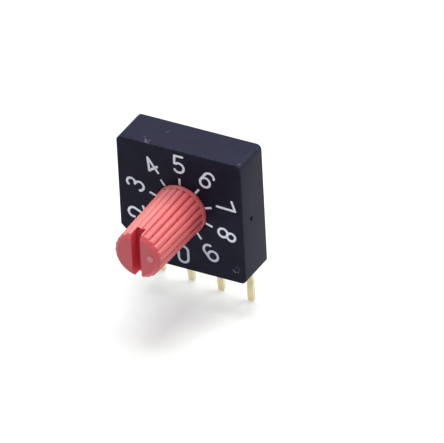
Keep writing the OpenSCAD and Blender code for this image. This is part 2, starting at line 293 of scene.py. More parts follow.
class Tree:
    """A node tree that is filled through one method."""

    def __init__(self, nodes: bpy.types.NodeTree):
        """Take over a node tree, to fill it."""
        self.nodes = nodes

    def add(self, kind: str, settings: dict, sockets: dict) -> bpy.types.Node:
        """Add a node.

        Args:
            kind: The node's type.
            settings: Its settings by name, set first.
            sockets: The values or links of its inputs, by name or number.

        Returns:
            The node.
        """
        node = self.nodes.nodes.new(kind)
        for name, value in settings.items():
            setattr(node, name, value)
        for key, value in sockets.items():
            self.feed(node.inputs[key], value)
        return node

    def feed(self, socket: bpy.types.NodeSocket, value: Value) -> None:
        """Link a field or an output to an input, or set a plain value on it.

        Args:
            socket: The input.
            value: What it takes. A plain colour may leave out its fourth number.
        """
        source = value.socket if isinstance(value, Field) else value
        if isinstance(source, bpy.types.NodeSocket):
            self.nodes.links.new(source, socket)
        elif socket.type == "RGBA" and len(source) == 3:
            socket.default_value = (*source, 1.0)
        else:
            socket.default_value = source

    def read(self, kind: str, settings: dict, sockets: dict, out: Union[str, int] = 0) -> Field:
        """Add a node as add does, and give one of its outputs by name or number."""
        return Field(self, self.add(kind, settings, sockets).outputs[out])

    def join(self, x: Value, y: Value, z: Value) -> Field:
        """Make a vector of three values."""
        return self.read("ShaderNodeCombineXYZ", {}, {0: x, 1: y, 2: z})

    def shown(self) -> list[Field]:
        """Tell the camera's rays, the mirrored ones and those let through from the rest.

        Returns:
            One mask for each of the three kinds.
        """
        rays = self.add("ShaderNodeLightPath", {}, {})
        kinds = ("Camera", "Glossy", "Transmission")
        return [Field(self, rays.outputs[f"Is {kind} Ray"]) for kind in kinds]


class Shader(Tree):
    """A material's node tree, with its surface shader ready."""

    MIX_FACTOR, MIX_A, MIX_B, MIX_RESULT = 0, 6, 7, 2

    def __init__(self, name: str):
        """Start a material.

        Args:
            name: The material's name.
        """
        self.material = bpy.data.materials.new(name)
        self.material.use_nodes = True
        super().__init__(self.material.node_tree)
        self.nodes.nodes.clear()
        self.surface = self.add("ShaderNodeBsdfPrincipled", {}, {})
        sockets = {"Surface": self.surface.outputs[0]}
        self.output = self.add("ShaderNodeOutputMaterial", {}, sockets)

    def place(self) -> Field:
        """Give the place on the object, in millimetres."""
        return self.read("ShaderNodeTexCoord", {}, {}, "Object") * (1.0 / MM)

    def noise(self, at: Value, scale: float, detail: float = 2.0, rough: float = 0.5) -> Field:
        """Add a noise from zero to one, by its grains in a millimetre and its octaves."""
        sockets = {"Vector": at, "Scale": scale, "Detail": detail, "Roughness": rough}
        return self.read("ShaderNodeTexNoise", {}, sockets)

    def mix(self, factor: Value, first: Value, second: Value) -> Field:
        """Mix two colours, by how much of the second one shows."""
        sockets = {self.MIX_FACTOR: factor, self.MIX_A: first, self.MIX_B: second}
        return self.read("ShaderNodeMix", {"data_type": "RGBA"}, sockets, self.MIX_RESULT)

    def bump(self, height: Field, depth: float) -> None:
        """Lean the surface's normal by a height, of which one is depth in millimetres."""
        sockets = {"Height": height, "Distance": depth * MM, "Strength": 1.0}
        self.set(Normal=self.read("ShaderNodeBump", {}, sockets))

    def set(self, **values: Value) -> None:
        """Set sockets of the surface shader. An underscore stands for a space."""
        for name, value in values.items():
            self.feed(self.surface.inputs[name.replace("_", " ")], value)


# ---- Finishes ----


@dataclass(frozen=True)
class Finish:
    """A surface finish that makes its material once."""

    name: str

    def shade(self, shader: Shader) -> None:
        """Fill the material's nodes."""
        raise NotImplementedError

    def material(self) -> bpy.types.Material:
        """Give the finish's material, and make it if it isn't there yet.

        Returns:
            The material.
        """
        label = f"{self.name}_finish"
        known = bpy.data.materials.get(label)
        if known is not None:
            return known
        shader = Shader(label)
        self.shade(shader)
        return shader.material


@dataclass(frozen=True)
class Stroke:
    """A short scratch or chip: a round-ended mark between two places, in millimetres."""

    start: Place
    end: Place
    reach: float
    level: float

    def draw(self, at: Field, ragged: Field) -> Field:
        """Draw the mark.

        Args:
            at: The place on the object.
            ragged: A noise that eats into its edge.

        Returns:
            How much of the mark shows, from zero to its level.
        """
        run = Vector(self.end) - Vector(self.start)
        away = at - self.start
        along = (away.dot(tuple(run)) / max(run.length_squared, 1e-6)).clamp()
        sockets = {"Vector": tuple(run), "Scale": along}
        reached = at.tree.read("ShaderNodeVectorMath", {"operation": "SCALE"}, sockets)
        gap = (away - reached).length() + (ragged - 0.5) * self.reach * 4.0
        return gap.step(self.reach, self.reach * 0.3) * self.level


@dataclass(frozen=True)
class CasePlastic(Finish):
    """Near-black moulded plastic with a fine spark-eroded grain and a few scuffs."""

    half_w: float = 5.0
    front: float = 1.6
    rim_w: float = 0.14
    corner_from: float = 0.42
    corner_full: float = 0.2
    colour: Colour = (0.0095, 0.0098, 0.0235)
    worn: Colour = (0.04, 0.045, 0.06)
    scratch: Colour = (0.3, 0.31, 0.36)
    roughness: float = 0.45
    grain: float = 26.0
    grain_depth: float = 0.003
    strokes: tuple[Stroke, ...] = (
        Stroke((3.99, -1.6, 1.0), (4.19, -1.6, 0.83), 0.045, 0.8),
        Stroke((4.38, -1.6, 0.9), (4.39, -1.6, 0.89), 0.06, 0.7),
        Stroke((4.4, -1.6, 1.42), (4.24, -1.6, 1.17), 0.035, 0.22),
        Stroke((4.55, -1.6, 1.3), (4.45, -1.6, 1.06), 0.035, 0.2),
        Stroke((-2.87, -1.15, 10.0), (-2.58, -1.46, 10.0), 0.045, 0.4),
        Stroke((-2.7, -1.54, 10.0), (-2.34, -1.55, 10.0), 0.035, 0.3),
        Stroke((-3.07, -0.93, 10.0), (-3.06, -0.92, 10.0), 0.05, 0.3),
        Stroke((-1.88, 0.2, 10.0), (-1.78, 0.45, 10.0), 0.08, 0.09),
        Stroke((-2.52, -1.2, 10.0), (-2.46, -1.24, 10.0), 0.06, 0.3),
        Stroke((-2.76, -1.5, 10.0), (-2.7, -1.34, 10.0), 0.04, 0.35),
        Stroke((4.72, -1.28, 10.0), (4.78, -1.22, 10.0), 0.08, 0.2),
        Stroke((4.92, -0.34, 9.92), (4.93, -0.3, 9.92), 0.06, 0.2),
        Stroke((4.94, 1.1, 9.88), (4.95, 1.2, 9.86), 0.07, 0.2),
    )

    def shade(self, shader: Shader) -> None:
        """Fill the material's nodes.

        Args:
            shader: The material's tree.
        """
        at = shader.place()
        x, y, z = at.parts()
        aside, above = abs(x), abs(z - self.half_w)
        side = self.half_w - aside.apply("MAXIMUM", above)
        rim = (side + abs(y + self.front)).step(self.rim_w, 0.03)
        corner = aside.apply("MINIMUM", above)
        turned = corner.step(self.half_w - self.corner_from, self.half_w - self.corner_full)
        clouds = shader.noise(at, 0.7, 3.0)
        specks = shader.noise(at, 9.0, 4.0, 0.7)
        ragged = shader.noise(at, 15.0, 3.0, 0.7)
        grain = shader.noise(at, self.grain, 2.0, 0.6)
        marks: Value = 0.0
        for stroke in self.strokes:
            marks = stroke.draw(at, ragged).apply("MAXIMUM", marks)
        base = shader.mix(clouds.step(0.35, 0.7) * 0.5, self.colour, tint(self.colour, 1.7))
        base = shader.mix(rim * specks.step(0.42, 0.7) * 0.7, base, self.worn)
        base = shader.mix(specks.step(0.64, 0.76) * 0.25, base, self.worn)
        base = shader.mix(turned * (0.12 + specks.step(0.5, 0.7) * 0.5), base, self.worn)
        base = shader.mix(marks, base, self.scratch)
        shader.set(
            Base_Color=base,
            Roughness=(self.roughness + (clouds - 0.5) * 0.2 + marks * 0.2).clamp(),
            Specular_IOR_Level=0.07,
        )
        shader.bump(grain + specks * 0.6 + marks * 2.0, self.grain_depth)


@dataclass(frozen=True)
class KnobPlastic(Finish):
    """Satin coral-red moulded plastic, with a painted sheen on the crests that face up and to the left, and
    painted shade in its grooves, in its slot and on its end face.
    """

    axis_z: float = 5.05
    rib_start: float = 1.9
    knob_end: float = 8.25
    draft: float = 0.11
    slot_half: float = 0.345
    slot_depth: float = 1.0
    gate_at: Point = (1.15, 5.2)
    gate_r: float = 0.28
    near: float = 0.01
    crest_from: float = 1.775
    crest_full: float = 1.935
    colour: Colour = (0.585, 0.1, 0.109)
    # Painted shade: the darker red painted in the grooves between the ribs; it also serves for random cloudy
    # mottling.
    groove_shade_and_mottle: Colour = (0.38, 0.012, 0.03)
    # Painted shade: slot is a deeper, more saturated red painted inside the slot, for light bounced between its
    # walls.
    slot: Colour = (0.6, 0.03, 0.055)
    # Painted sheen: pale is the washed-out red painted on the crests that face up and to the left, where the lamps
    # glint; it also colours random pale flecks on the crests.
    pale: Colour = (0.53, 0.29, 0.265)
    # The direction, across the knob, of the crests that get the painted sheen.
    sheen_side: Point = (-0.45, 0.89)
    # Painted shade: end is a darker red painted on the knob's bevel and end face, which look away from the lamps
    # overhead.
    end: Colour = (0.54, 0.07, 0.09)
    gate: Colour = (0.62, 0.25, 0.27)
    roughness: float = 0.45

    def shade(self, shader: Shader) -> None:
        """Fill the material's nodes.

        Args:
            shader: The material's tree.
        """
        at = shader.place()
        x, y, z = at.parts()
        up = z - self.axis_z
        out = -y
        along = (out - self.rib_start) / (self.knob_end - self.rib_start)
        radius = (x * x + up * up) ** 0.5 + along * self.draft
        aside, above = x - self.gate_at[0], z - self.gate_at[1]
        off_gate = (aside * aside + above * above) ** 0.5
        on_end = out > self.knob_end + self.near
        # Painted shade on the bevel and the end face.
        end_face_shade = out.step(self.knob_end - 0.4, self.knob_end - 0.1)
        above_floor = out > self.knob_end - self.slot_depth - 2 * self.near
        in_slot = above_floor * (abs(x) < self.slot_half + self.near)
        facing = (x * self.sheen_side[0] + up * self.sheen_side[1]) / radius
        clouds = shader.noise(at, 1.1, 3.0)
        specks = shader.noise(at, 14.0, 4.0, 0.6)
        grain = shader.noise(at, 34.0, 2.0)
        crest = radius.step(self.crest_from, self.crest_full)
        # Painted sheen on the crests that face up and to the left, plus random pale flecks on every crest.
        sheen_and_flecks = crest * (facing.step(0.55, 1.0) * 0.32 + specks.step(0.42, 0.68) * 0.14)
        # Painted shade: the grooves below the crests are darker.
        base = shader.mix(crest, self.groove_shade_and_mottle, self.colour)
        base = shader.mix(end_face_shade, base, self.end)
        base = shader.mix(sheen_and_flecks, base, self.pale)
        base = shader.mix((clouds - 0.5).clamp() * 0.4, base, self.groove_shade_and_mottle)
        # Painted shade: a more saturated red inside the slot, for light bounced between its walls.
        base = shader.mix(in_slot, base, self.slot)
        base = shader.mix(on_end * off_gate.step(self.gate_r, 0.2) * 0.7, base, self.gate)
        shader.set(
            Base_Color=base,
            Roughness=(self.roughness + (specks - 0.5) * 0.2 + in_slot * 0.2).clamp(),
            Subsurface_Weight=0.15,
            Subsurface_Radius=(1.0, 0.25, 0.2),
            Subsurface_Scale=0.3 * MM,
        )
        shader.bump(grain + specks, 0.0035)


@dataclass(frozen=True)
class Ink(Finish):
    """White ink, patchy and slightly uneven, and darker towards the bottom of the dial."""

    colour: Colour = (0.78, 0.85, 1.0)
    dim: Colour = (0.42, 0.46, 0.58)
    # The two levels, in millimetres up the dial, between which the ink turns darker towards the bottom.
    brighter_above: float = 4.4
    darker_below: float = 1.8

    def shade(self, shader: Shader) -> None:
        """Fill the material's nodes.

        Args:
            shader: The material's tree.
        """
        at = shader.place()
        patches = shader.noise(at, 3.5, 3.0, 0.6)
        specks = shader.noise(at, 16.0, 3.0, 0.7)
        _, _, z = at.parts()
        dimmed = patches.step(0.35, 0.7) * 0.25 + specks.step(0.5, 0.8) * 0.25
        # Darker towards the bottom of the dial.
        dimmed = (dimmed + z.step(self.brighter_above, self.darker_below) * 0.65).clamp()
        shader.set(
            Base_Color=shader.mix(dimmed, self.colour, self.dim),
            Roughness=(0.5 + (specks - 0.5) * 0.2).clamp(),
        )
        shader.bump(specks, 0.003)


@dataclass(frozen=True)
class GoldPlate(Finish):
    """Pale gold plate over a stamped strip, with faint drawing lines, painted darker and greener towards the case
    as shade and as the dark case reflected, and with cloudy tarnished patches.
    """

    colour: Colour = (0.83, 0.73, 0.46)
    # Painted shade: the darker, greener gold painted towards the case, where the pins are shaded and reflect the
    # dark case; it also colours cloudy tarnished patches.
    shade_and_tarnish_gold: Colour = (0.5, 0.49, 0.3)
    roughness: float = 0.3

    def shade(self, shader: Shader) -> None:
        """Fill the material's nodes.

        Args:
            shader: The material's tree.
        """
        at = shader.place()
        _, _, z = at.parts()
        sockets = {"Vector": at, "Scale": (9.0, 9.0, 0.6)}
        lines = shader.noise(shader.read("ShaderNodeMapping", {}, sockets), 2.0, 4.0, 0.65)
        clouds = shader.noise(at, 1.6, 2.0)
        # Painted shade rising towards the case underside, with cloudy tarnished patches.
        case_shade_and_tarnish = (z + clouds * 1.2).step(-1.9, -0.3) * 0.55 + clouds.step(0.55, 0.8) * 0.2
        shader.set(
            Base_Color=shader.mix(case_shade_and_tarnish.clamp(), self.colour, self.shade_and_tarnish_gold),
            Metallic=1.0,
            Roughness=(self.roughness + (lines - 0.5) * 0.25).clamp(),
        )
        shader.bump(lines, 0.004)


@dataclass(frozen=True)
class PlainMoulding(Finish):
    """A plain moulded, poured or rubber surface with a soft grain."""

    colour: Colour = (0.03, 0.04, 0.035)
    fleck: Colour = (0.07, 0.08, 0.07)
    roughness: float = 0.5
    grain: float = 12.0
    grain_depth: float = 0.004
    shine: float = 0.2

    def shade(self, shader: Shader) -> None:
        """Fill the material's nodes.

        Args:
            shader: The material's tree.
        """
        at = shader.place()
        clouds = shader.noise(at, 1.2, 3.0)
        grain = shader.noise(at, self.grain, 3.0, 0.6)
        flecks = grain.step(0.5, 0.8) * 0.5 + clouds * 0.2
        shader.set(
            Base_Color=shader.mix(flecks.clamp(), self.colour, self.fleck),
            Roughness=(self.roughness + (clouds - 0.5) * 0.2).clamp(),
            Specular_IOR_Level=self.shine,
        )
        shader.bump(grain, self.grain_depth)


@dataclass(frozen=True)
class BareMetal(Finish):
    """Bare or plated metal with fine lines from drawing or rolling."""

    colour: Colour = (0.6, 0.6, 0.6)
    roughness: float = 0.25
    line_depth: float = 0.002

    def shade(self, shader: Shader) -> None:
        """Fill the material's nodes.

        Args:
            shader: The material's tree.
        """
        at = shader.place()
        sockets = {"Vector": at, "Scale": (1.0, 6.0, 6.0)}
        lines = shader.noise(shader.read("ShaderNodeMapping", {}, sockets), 4.0, 3.0, 0.6)
        stain = shader.noise(at, 2.0, 2.0).step(0.5, 0.8) * 0.35
        shader.set(
            Base_Color=shader.mix(stain, self.colour, tint(self.colour, 0.7)),
            Metallic=1.0,
            Roughness=(self.roughness + (lines - 0.5) * 0.2).clamp(),
        )
        shader.bump(lines, self.line_depth)


@dataclass(frozen=True)
class FloorPaint(Finish):
    """Pale floor that keeps the switch's soft shadow and fades to white further out."""

    colour: Colour = (0.93, 0.93, 0.93)
    veil: float = 0.6
    fade_from: float = 14.0
    fade_to: float = 34.0

    def shade(self, shader: Shader) -> None:
        """Fill the material's nodes.

        Args:
            shader: The material's tree.
        """
        at = shader.place()
        x, y, _ = at.parts()
        away = ((x * x + y * y) ** 0.5).step(self.fade_from, self.fade_to)
        smudge = shader.noise(at, 0.05, 2.0)
        shader.set(
            Base_Color=shader.mix(smudge * 0.06, self.colour, tint(self.colour, 0.96)),
            Roughness=0.7,
            Specular_IOR_Level=0.2,
        )
        direct, mirrored, through = shader.shown()
        seen = (direct + mirrored + through).clamp() * (self.veil + away * (1.0 - self.veil))
        glow = shader.read("ShaderNodeEmission", {}, {"Color": WHITE})
        lit = shader.surface.outputs[0]
        veiled = shader.read("ShaderNodeMixShader", {}, {0: seen, 1: lit, 2: glow})
        under = shader.read("ShaderNodeNewGeometry", {}, {}, "Backfacing")
        clear = shader.read("ShaderNodeBsdfTransparent", {}, {})
        mixed = shader.read("ShaderNodeMixShader", {}, {0: under, 1: veiled, 2: clear})
        shader.feed(shader.output.inputs["Surface"], mixed)


def tint(colour: Colour, level: float) -> Colour:
    """Make a colour lighter or darker by multiplying each part."""
    return tuple(min(1.0, part * level) for part in colour)


# ---- Mesh tools ----


def finish_mesh(mesh: Mesh, smooth_deg: float = 35.0) -> Mesh:
    """Merge doubles, point the faces outwards and smooth all but the sharp edges.

    Args:
        mesh: The mesh, in the flat drawing's millimetres.
        smooth_deg: Edges that bend less than this stay smooth.

    Returns:
        The same mesh.
    """
    work = bmesh.new()
    work.from_mesh(mesh)
    bmesh.ops.remove_doubles(work, verts=work.verts, dist=MERGE)
    bmesh.ops.dissolve_degenerate(work, edges=work.edges, dist=SLIVER)
    bmesh.ops.recalc_face_normals(work, faces=work.faces)
    for face in work.faces:
        face.smooth = True
    limit = math.radians(smooth_deg)
    for edge in work.edges:
        edge.smooth = len(edge.link_faces) == 2 and edge.calc_face_angle(0.0) < limit
    work.to_mesh(mesh)
    work.free()
    return mesh


def new_mesh(name: str, points: Ring, faces: Sequence[Sequence[int]]) -> Mesh:
    """Make a mesh.

    Args:
        name: Its name.
        points: Its points, in millimetres.
        faces: Its faces, as numbers of points.

    Returns:
        The mesh.
    """
    mesh = bpy.data.meshes.new(name)
    mesh.from_pydata([tuple(p) for p in points], [], [tuple(f) for f in faces])
    return mesh


def loft(name: str, rings: Sequence[Ring], looped: bool = False) -> Mesh:
    """Skin rings of equal length, and close the ends or join the last ring to the first.

    Args:
        name: The mesh's name.
        rings: Rings of points, in order.
        looped: Whether the last ring meets the first.

    Returns:
        A closed mesh.
    """
    count, total = len(rings[0]), len(rings)
    faces = [
        (i * count + k, i * count + (k + 1) % count,
         (i + 1) % total * count + (k + 1) % count, (i + 1) % total * count + k)
        for i in range(total if looped else total - 1)
        for k in range(count)
    ]
    if not looped:
        faces += [range(count), range((total - 1) * count, total * count)]
    return finish_mesh(new_mesh(name, [point for ring in rings for point in ring], faces))


def level_ring(
    radius: float, level: float, centre: Point = (0.0, 0.0), sides: int = 96
) -> list[Place]:
    """Give the points of a level ring round a centre."""
    x, y = centre
    return [(x + radius * math.cos(a), y + radius * math.sin(a), level) for a in turns(sides)]


def rod(
    name: str, radius: float, low: float, high: float, centre: Point = (0.0, 0.0),
    axis: Axis = Axis.Z, sides: int = 96,
) -> Mesh:
    """Make a straight round rod.

    Args:
        name: The mesh's name.
        radius: Its radius.
        low: Where it starts along its axis.
        high: Where it ends.
        centre: Its centre across a Z axis.
        axis: The axis that it lies along.
        sides: Its sides.

    Returns:
        A closed mesh.
    """
    mesh = loft(name, [level_ring(radius, level, sides=sides) for level in (low, high)])
    turn = Matrix.Rotation(axis.value, 4, "Y")
    mesh.transform(Matrix.Translation((*centre, 0.0)) @ turn)
    return mesh


def turns(count: int) -> list[float]:
    """Give angles that share out one turn."""
    return [2 * math.pi * k / count for k in range(count)]


def rectangle(low: Sequence[float], high: Sequence[float]) -> list[Point]:
    """Give a rectangle's corners, anticlockwise from its lowest."""
    return [(low[0], low[1]), (high[0], low[1]), (high[0], high[1]), (low[0], high[1])]


def block(name: str, low: Sequence[float], high: Sequence[float]) -> Mesh:
    """Make a block from its lowest to its highest corner."""
    corners = rectangle(low, high)
    return loft(name, [at_level(corners, level) for level in (low[2], high[2])])


def add_object(name: str, data: bpy.types.ID) -> bpy.types.Object:
    """Add a mesh, a lamp or a camera to the scene.

    Args:
        name: The object's name.
        data: What it shows.

    Returns:
        The object.
    """
    item = bpy.data.objects.new(name, data)
    bpy.context.scene.collection.objects.link(item)
    return item


class Cut(Enum):
    """What a tool does to a mesh."""

    AWAY = "DIFFERENCE"
    ADD = "UNION"
    KEEP = "INTERSECT"


def carve(mesh: Mesh, tools: Iterable[Mesh], cut: Cut = Cut.AWAY) -> Mesh:
    """Cut tools from a mesh, or add them to it.

    Args:
        mesh: The mesh.
        tools: Closed meshes.
        cut: What each tool does.

    Returns:
        A new mesh.
    """
    for tool in tools:
        carrier, cutter = add_object("carrier", mesh), add_object("cutter", tool)
        modifier = carrier.modifiers.new("cut", "BOOLEAN")
        modifier.operation = cut.value
        modifier.solver = "EXACT"
        modifier.object = cutter
        mesh = applied_mesh(carrier)
        bpy.data.objects.remove(cutter)
    return mesh


def applied_mesh(carrier: bpy.types.Object) -> Mesh:
    """Apply an object's modifiers, and remove the object.

    Args:
        carrier: The object.

    Returns:
        The result, as a plain mesh.
    """
    graph = bpy.context.evaluated_depsgraph_get()
    graph.update()
    mesh = bpy.data.meshes.new_from_object(carrier.evaluated_get(graph))
    mesh.materials.clear()
    bpy.data.objects.remove(carrier)
    return mesh


def cad_copy(node: str, stand: Matrix) -> Mesh:
    """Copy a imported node's mesh back into the flat drawing.

    Args:
        node: The node's name.
        stand: The move from the flat drawing to the standing switch.

    Returns:
        The copy, merged, with its flat faces whole.
    """
    mesh = frame["nodes"][node].data.copy()
    mesh.materials.clear()
    mesh.transform(stand.inverted())
    work = bmesh.new()
    work.from_mesh(mesh)
    bmesh.ops.remove_doubles(work, verts=work.verts, dist=MERGE)
    flat = math.radians(FLAT_DEG)
    bmesh.ops.dissolve_limit(work, angle_limit=flat, verts=work.verts, edges=work.edges)
    work.to_mesh(mesh)
    work.free()
    return mesh


@dataclass(frozen=True)
class Corner:
    """A corner of an outline, with its rounding."""

    x: float
    y: float
    radius: float


def rounded(corners: Sequence[Corner], inset: float = 0.0) -> list[Point]:
    """Draw a convex outline with round corners, or one that lies inside it.

    Args:
        corners: The corners, anticlockwise.
        inset: How far inside the outline it runs.

    Returns:
        The points, equally many for every inset.
    """
    points: list[Point] = []
    count = len(corners)
    for i, corner in enumerate(corners):
        here = Vector((corner.x, corner.y))
        before = (here - Vector((corners[i - 1].x, corners[i - 1].y))).normalized()
        after_corner = corners[(i + 1) % count]
        after = (Vector((after_corner.x, after_corner.y)) - here).normalized()
        bend = before.angle(after)
        inward = Vector((-before.y, before.x)) + Vector((-after.y, after.x))
        inward = inward.normalized() / math.cos(bend / 2)
        centre = here + inward * max(corner.radius, inset)
        radius = max(corner.radius - inset, 0.0)
        start = math.atan2(-before.x, before.y)
        for k in range(CORNER_STEPS + 1):
            angle = start + bend * k / CORNER_STEPS
            points.append((centre.x + radius * math.cos(angle),
                           centre.y + radius * math.sin(angle)))
    return points


def at_level(points: Sequence[Point], level: float) -> list[Place]:
    """Lift a flat outline to a level."""
    return [(x, y, level) for x, y in points]


# ---- Geometry Nodes ----


class Recipe(Tree):
    """A Geometry Nodes tree with named sizes, run once on a base mesh."""

    def __init__(self, name: str, sizes: dict[str, float]):
        """Start a tree.

        Args:
            name: The tree's name.
            sizes: Its named inputs and the values that they are given.
        """
        super().__init__(bpy.data.node_groups.new(name, "GeometryNodeTree"))
        self.sizes = sizes
        face = self.nodes.interface
        face.new_socket("Geometry", in_out="INPUT", socket_type="NodeSocketGeometry")
        face.new_socket("Geometry", in_out="OUTPUT", socket_type="NodeSocketGeometry")
        for label, size in sizes.items():
            kind = "NodeSocketInt" if isinstance(size, int) else "NodeSocketFloat"
            face.new_socket(label, in_out="INPUT", socket_type=kind)
        self.inputs = self.add("NodeGroupInput", {}, {})

    def size(self, label: str) -> Field:
        """Give a named input."""
        return Field(self, self.inputs.outputs[label])

    def close(self, geometry: bpy.types.NodeSocket, finish: Finish) -> None:
        """End the tree with real geometry and its material.

        Args:
            geometry: The finished geometry.
            finish: The finish that it gets.
        """
        real = self.add("GeometryNodeRealizeInstances", {}, {"Geometry": geometry})
        sockets = {"Geometry": real.outputs[0], "Material": finish.material()}
        dressed = self.add("GeometryNodeSetMaterial", {}, sockets)
        self.add("NodeGroupOutput", {}, {"Geometry": dressed.outputs[0]})

    def run(self, base: Mesh) -> Mesh:
        """Run the tree on a base mesh.

        Args:
            base: The mesh that the tree starts from.

        Returns:
            The result, as a plain mesh.
        """
        carrier = add_object("carrier", base)
        modifier = carrier.modifiers.new("recipe", "NODES")
        modifier.node_group = self.nodes
        for item in self.nodes.interface.items_tree:
            if item.in_out == "INPUT" and item.name in self.sizes:
                modifier[item.identifier] = self.sizes[item.name]
        return applied_mesh(carrier)


# ---- Sub-assemblies ----


@dataclass
class Assembly:
    """A sub-assembly that adds its pieces to the scene."""

    levels: Levels
    body: Body = field(default=Body.HOUSING, kw_only=True)

    def put(
        self, name: str, mesh: Mesh, finish: Finish, slot: str, *replaced: str
    ) -> bpy.types.Object:
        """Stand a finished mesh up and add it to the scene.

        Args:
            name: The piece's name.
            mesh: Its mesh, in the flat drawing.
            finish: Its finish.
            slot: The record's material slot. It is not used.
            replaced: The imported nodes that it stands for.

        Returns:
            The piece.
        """
        mesh.transform(self.levels.stand)
        mesh.materials.clear()
        mesh.materials.append(finish.material())
        mesh.name = name
        piece = add_object(name, mesh)
        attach(piece, self.body.value)
        if replaced:
            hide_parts(*replaced)
        log.info("%s: %d faces on %s", name, len(mesh.polygons), self.body.value)
        return piece

    def dress_node(self, node: str, finish: Finish) -> None:
        """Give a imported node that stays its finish.

        Args:
            node: The node's name.
            finish: Its finish.
        """
        item = frame["nodes"][node]
        if not item.data.materials:
            item.data.materials.append(None)
        for slot in item.material_slots:
            slot.material = finish.material()
        log.info("%s: packed node, finish %s", node, finish.name)


@dataclass
class Case(Assembly):
    """The square case with its keyed corner, open at the back."""

    corner_r: float = 0.4
    key_r: float = 0.12
    key_leg: float = 2.5
    front_edge: float = 0.055
    back_edge: float = 0.05
    side_wall: float = 0.55
    front_wall: float = 0.7
    crest_r: float = 3.33
    notch_depth: float = 0.15
    notch_r: float = 0.4
    notches: int = 10
    groove_r: float = 2.4
    groove_h: float = 0.42
    bore_r: float = 2.04
    bore_bevel: float = 0.05
    way_half: float = 0.27
    way_front: float = -0.73
    pin_pitch: float = 2.54
    pit_low: Place = (4.85, -0.28, 0.24)
    pit_high: Place = (5.5, 0.07, 0.53)
    edge_steps: int = 5

    @property
    def pins(self) -> list[float]:
        """The places of the front row's pins across the case."""
        return [(i - 1.5) * self.pin_pitch for i in range(4)]

    def outline(self, inset: float = 0.0) -> list[Point]:
        """Draw the case's outline, or one inside it.

        Args:
            inset: How far inside it runs.

        Returns:
            The outline's points.
        """
        w = self.levels.case_w / 2
        leg = self.key_leg
        corners = (
            Corner(-w, -w + leg, self.key_r),
            Corner(-w + leg, -w, self.key_r),
            Corner(w, -w, self.corner_r),
            Corner(w, w, self.corner_r),
            Corner(-w, w, self.corner_r),
        )
        return rounded(corners, inset)

    def prism(self, inset: float, low: float, high: float) -> Mesh:
        """Make a prism between two levels, on an outline inside the case's."""
        skin = self.outline(inset)
        return loft("prism", [at_level(skin, low), at_level(skin, high)])

    def build(self, finish: Finish) -> None:
        """Build the case.

        Args:
            finish: Its finish.
        """
        lv = self.levels
        quarter = [math.pi / 2 * k / self.edge_steps for k in range(self.edge_steps + 1)]
        rings = []
        for radius, level, side in ((self.back_edge, lv.back, 1), (self.front_edge, lv.front, -1)):
            for angle in quarter[::side]:
                inset = radius * (1 - math.sin(angle))
                rise = side * radius * (1 - math.cos(angle))
                rings.append(at_level(self.outline(inset), level + rise))
        shell = carve(loft("case", rings), self._tools())
        self.put("case_shell", finish_mesh(shell), finish, "case_plastic", "case")

    def _tools(self) -> list[Mesh]:
        """Make the shapes that are cut out of the solid block.

        Returns:
            The shapes, each a closed mesh.
        """
        lv = self.levels
        centre = (0.0, lv.axis_rise)
        pocket = lv.front - self.front_wall
        low = lv.back - PAST
        start = lv.base_front - PAST / 2
        mouth_r = self.bore_r + self.bore_bevel
        bore = ((self.bore_r, 0.0), (self.bore_r, lv.front - self.bore_bevel),
                (mouth_r, lv.front), (mouth_r, lv.front + PAST))
        tools = [
            self.prism(self.side_wall, low, lv.base_front),
            rod("pocket", self.crest_r, start, pocket, centre, sides=180),
            rod("groove", self.groove_r, pocket - PAST / 2, pocket + self.groove_h, centre),
            loft("bore", [level_ring(r, level, centre, 128) for r, level in bore]),
            self._notches(start, pocket),
            self._print_cutter(),
            block("pit", self.pit_low, self.pit_high),
        ]
        for x in self.pins:
            tools.append(block("way", (x - self.way_half, -lv.case_w / 2 - PAST, low),
                               (x + self.way_half, 0.0, self.way_front)))
        return tools

    def _notches(self, low: float, high: float) -> Mesh:
        """Make the ring of round notch cutters, one for each click.

        Args:
            low: Their lower level.
            high: Their upper level.

        Returns:
            The cutters, as one mesh of closed rods.
        """
        reach = self.crest_r + self.notch_depth - self.notch_r
        sizes = {"Notches": self.notches, "Reach": reach, "Radius": self.notch_r,
                 "Low": low, "High": high}
        recipe = Recipe("detent notches", sizes)
        size = recipe.size
        spots = recipe.add("GeometryNodeMeshCircle", {"fill_type": "NONE"}, {
            "Vertices": size("Notches"), "Radius": size("Reach")})
        height = size("High") - size("Low")
        cutter = recipe.add("GeometryNodeMeshCylinder", {}, {
            "Vertices": 64, "Radius": size("Radius"), "Depth": height})
        copies = recipe.add("GeometryNodeInstanceOnPoints", {}, {
            "Points": spots.outputs[0], "Instance": cutter.outputs[0]})
        middle = (size("High") + size("Low")) * 0.5
        rise = recipe.join(0.0, self.levels.axis_rise, middle)
        moved = recipe.add("GeometryNodeTransform", {}, {
            "Geometry": copies.outputs[0], "Translation": rise})
        recipe.close(moved.outputs[0], CASE_PLASTIC)
        return finish_mesh(recipe.run(new_mesh("start", [], [])))

    def _print_cutter(self) -> Mesh:
        """Make the tool that sinks the print's seats into the front face.

        Returns:
            A closed mesh for each figure and tick, in one.
        """
        mesh = cad_copy("dial_print", self.levels.stand)
        front = self.levels.front
        for vertex in mesh.vertices:
            if vertex.co.z > front - MERGE:
                vertex.co.z = front + PAST / 4
        return mesh


